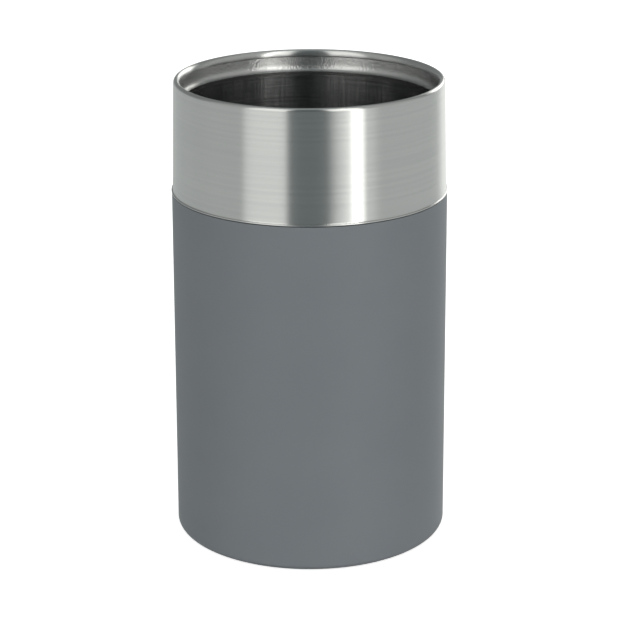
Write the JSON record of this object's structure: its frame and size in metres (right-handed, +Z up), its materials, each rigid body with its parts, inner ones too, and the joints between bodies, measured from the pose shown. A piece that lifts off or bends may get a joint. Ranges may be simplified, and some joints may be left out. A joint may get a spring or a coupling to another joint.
{
  "type": "insulated bottle cooler",
  "caption": "Straight-sided double-walled cooler for a champagne or wine bottle: brushed steel collar and liner cup over a matt grey shell.",
  "frame": {"origin": "centre of the foot ring's underside, where the cooler meets the table", "axes": "+Z up along the cooler's own axis, out of its mouth; X and Y are equal, because the cooler is round"},
  "size_m": [0.1178, 0.1178, 0.2],
  "materials": {
    "brushed_steel": "satin, brushed round the axis",
    "liner_steel": "satin, brushed round the axis, with faint draw marks along it",
    "matt_shell": "matt blue-grey with a fine even grain",
    "base_plastic": "matt, moulded",
    "seal_rubber": "matt black",
    "foot_rubber": "matt charcoal, fine grain",
    "foam": "off-white moulded foam"
  },
  "bodies": {
    "root": {"rim_collar": "brushed_steel", "cup_gasket": "seal_rubber", "inner_cup": "liner_steel", "outer_sleeve": "matt_shell", "seam_gasket": "seal_rubber", "cup_cradle": "foam", "base_plate": "base_plastic", "foot_ring": "foot_rubber"}
  },
  "joints": []
}
